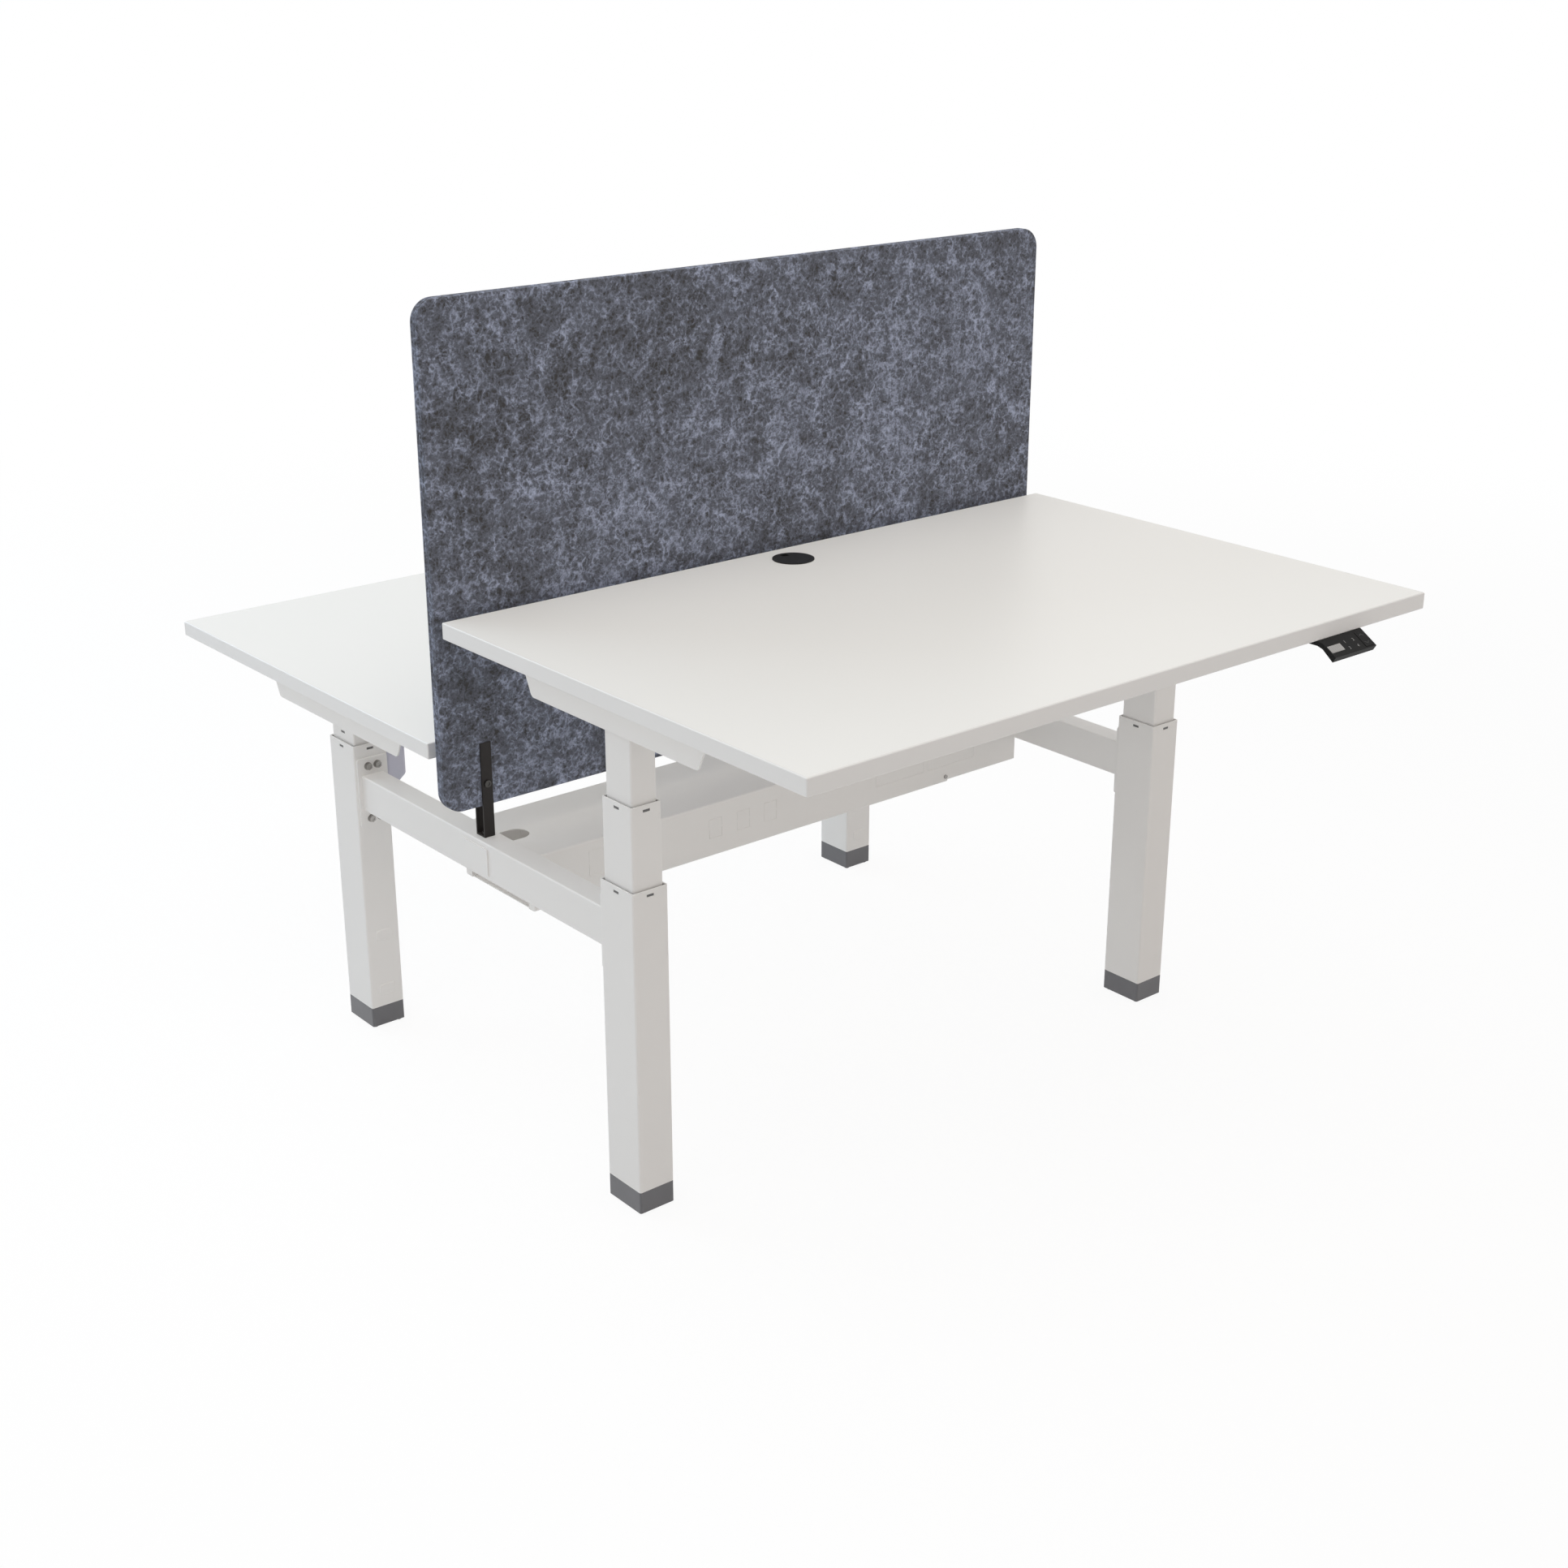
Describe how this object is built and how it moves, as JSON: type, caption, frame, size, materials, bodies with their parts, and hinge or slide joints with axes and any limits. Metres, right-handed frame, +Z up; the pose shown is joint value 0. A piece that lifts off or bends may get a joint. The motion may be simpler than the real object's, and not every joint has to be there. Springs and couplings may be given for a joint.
{
  "type": "height-adjustable bench desk",
  "caption": "Back-to-back electric sit-stand desk with two tops on one frame, telescopic columns, cable beam and felt divider screen",
  "frame": {"origin": "on the floor, in the middle of the footprint", "axes": "X across the desks, Y from the front user to the rear user, Z up"},
  "size_m": [1.2, 1.72, 1.255],
  "materials": {
    "white_paint": "white powder coat",
    "white_laminate": "white melamine on chipboard",
    "felt": "pressed polyester felt",
    "black_steel": "black powder coat",
    "black_plastic": "moulded",
    "grey_plastic": "moulded",
    "foot_plastic": "moulded, glossy",
    "zinc_steel": "zinc plated",
    "grey_housing": "moulded"
  },
  "bodies": {
    "frame": {"outer_guide_bushes": "grey_plastic", "left_cross_beam": "white_paint", "right_cross_beam": "white_paint", "cross_beam_bolts": "zinc_steel", "cross_beam_covers": "white_paint", "cable_beam_outer_section": "white_paint", "cable_beam_inner_section": "white_paint", "cable_beam_lids": "white_paint", "cable_beam_screws": "zinc_steel", "felt_screen": "felt", "screen_brackets": "black_steel", "screen_screws": "zinc_steel", "front_left_outer_tube": "white_paint", "front_left_foot_cap": "foot_plastic", "front_right_outer_tube": "white_paint", "front_right_foot_cap": "foot_plastic", "rear_left_outer_tube": "white_paint", "rear_left_foot_cap": "foot_plastic", "rear_right_outer_tube": "white_paint", "rear_right_foot_cap": "foot_plastic"},
    "front_desk": {"front_top_board": "white_laminate", "front_gear_motor": "grey_housing", "front_bevel_gearboxes": "grey_housing", "front_control_box": "grey_housing", "front_handset": "black_plastic", "front_grommet_ring": "black_plastic", "front_rail_screws": "zinc_steel", "front_left_side_rail": "white_paint", "front_left_inner_tube": "white_paint", "front_right_side_rail": "white_paint", "front_right_inner_tube": "white_paint"},
    "rear_desk": {"rear_top_board": "white_laminate", "rear_gear_motor": "grey_housing", "rear_bevel_gearboxes": "grey_housing", "rear_control_box": "grey_housing", "rear_handset": "black_plastic", "rear_grommet_ring": "black_plastic", "rear_rail_screws": "zinc_steel", "rear_left_side_rail": "white_paint", "rear_left_inner_tube": "white_paint", "rear_right_side_rail": "white_paint", "rear_right_inner_tube": "white_paint"},
    "front_left_stage": {"front_left_middle_tube": "white_paint", "front_left_middle_bush": "grey_plastic"},
    "front_left_screw": {"front_left_lift_screw": "zinc_steel"},
    "front_right_stage": {"front_right_middle_tube": "white_paint", "front_right_middle_bush": "grey_plastic"},
    "front_right_screw": {"front_right_lift_screw": "zinc_steel"},
    "rear_left_stage": {"rear_left_middle_tube": "white_paint", "rear_left_middle_bush": "grey_plastic"},
    "rear_left_screw": {"rear_left_lift_screw": "zinc_steel"},
    "rear_right_stage": {"rear_right_middle_tube": "white_paint", "rear_right_middle_bush": "grey_plastic"},
    "rear_right_screw": {"rear_right_lift_screw": "zinc_steel"},
    "front_drive": {"front_drive_shaft": "zinc_steel"},
    "front_key": {"front_rocker_key": "black_plastic"},
    "front_cable_cap": {"front_grommet_cap": "black_plastic"},
    "rear_drive": {"rear_drive_shaft": "zinc_steel"},
    "rear_key": {"rear_rocker_key": "black_plastic"},
    "rear_cable_cap": {"rear_grommet_cap": "black_plastic"}
  },
  "joints": [
    {"name": "front_lift", "type": "slide", "parent": "frame", "child": "front_desk", "axis": [0, 0, 1], "range_m": [-0.206, 0.444]},
    {"name": "rear_lift", "type": "slide", "parent": "frame", "child": "rear_desk", "axis": [0, 0, 1], "range_m": [-0.006, 0.644]},
    {"name": "front_left_stage_slide", "type": "slide", "parent": "frame", "child": "front_left_stage", "axis": [0, 0, 1], "range_m": [-0.103, 0.222]},
    {"name": "front_left_screw_turn", "type": "hinge", "parent": "front_desk", "child": "front_left_screw", "pos_m": [-0.5265, -0.377, 0.506], "axis": [0, 0, 1], "range_deg": [-2318, 4996]},
    {"name": "front_right_stage_slide", "type": "slide", "parent": "frame", "child": "front_right_stage", "axis": [0, 0, 1], "range_m": [-0.103, 0.222]},
    {"name": "front_right_screw_turn", "type": "hinge", "parent": "front_desk", "child": "front_right_screw", "pos_m": [0.5265, -0.377, 0.506], "axis": [0, 0, 1], "range_deg": [-2318, 4996]},
    {"name": "rear_left_stage_slide", "type": "slide", "parent": "frame", "child": "rear_left_stage", "axis": [0, 0, 1], "range_m": [-0.003, 0.322]},
    {"name": "rear_left_screw_turn", "type": "hinge", "parent": "rear_desk", "child": "rear_left_screw", "pos_m": [-0.5265, 0.377, 0.306], "axis": [0, 0, 1], "range_deg": [-68, 7246]},
    {"name": "rear_right_stage_slide", "type": "slide", "parent": "frame", "child": "rear_right_stage", "axis": [0, 0, 1], "range_m": [-0.003, 0.322]},
    {"name": "rear_right_screw_turn", "type": "hinge", "parent": "rear_desk", "child": "rear_right_screw", "pos_m": [0.5265, 0.377, 0.306], "axis": [0, 0, 1], "range_deg": [-68, 7246]},
    {"name": "front_drive_turn", "type": "hinge", "parent": "front_desk", "child": "front_drive", "pos_m": [0, -0.377, 0.747], "axis": [1, 0, 0], "range_deg": [-2318, 4996]},
    {"name": "front_key_rock", "type": "hinge", "parent": "front_desk", "child": "front_key", "pos_m": [0.4355, -0.84537, 0.77069], "axis": [1, 0, 0], "range_deg": [-4, 4], "stiffness_Nm_per_rad": 0.2},
    {"name": "front_cap_turn", "type": "hinge", "parent": "front_desk", "child": "front_cable_cap", "pos_m": [0, -0.09, 0.806], "axis": [0, 0, 1], "continuous": true},
    {"name": "rear_drive_turn", "type": "hinge", "parent": "rear_desk", "child": "rear_drive", "pos_m": [0, 0.377, 0.547], "axis": [1, 0, 0], "range_deg": [-68, 7246]},
    {"name": "rear_key_rock", "type": "hinge", "parent": "rear_desk", "child": "rear_key", "pos_m": [-0.4355, 0.84537, 0.57069], "axis": [1, 0, 0], "range_deg": [-4, 4], "stiffness_Nm_per_rad": 0.2},
    {"name": "rear_cap_turn", "type": "hinge", "parent": "rear_desk", "child": "rear_cable_cap", "pos_m": [0, 0.09, 0.606], "axis": [0, 0, 1], "continuous": true}
  ],
  "couplings": [
    {"joint": "front_left_stage_slide", "follows": "front_lift", "ratio": 0.5},
    {"joint": "front_left_screw_turn", "follows": "front_lift", "rad_per_m": 196.35},
    {"joint": "front_right_stage_slide", "follows": "front_lift", "ratio": 0.5},
    {"joint": "front_right_screw_turn", "follows": "front_lift", "rad_per_m": 196.35},
    {"joint": "rear_left_stage_slide", "follows": "rear_lift", "ratio": 0.5},
    {"joint": "rear_left_screw_turn", "follows": "rear_lift", "rad_per_m": 196.35},
    {"joint": "rear_right_stage_slide", "follows": "rear_lift", "ratio": 0.5},
    {"joint": "rear_right_screw_turn", "follows": "rear_lift", "rad_per_m": 196.35},
    {"joint": "front_drive_turn", "follows": "front_lift", "rad_per_m": 196.35},
    {"joint": "rear_drive_turn", "follows": "rear_lift", "rad_per_m": 196.35}
  ]
}
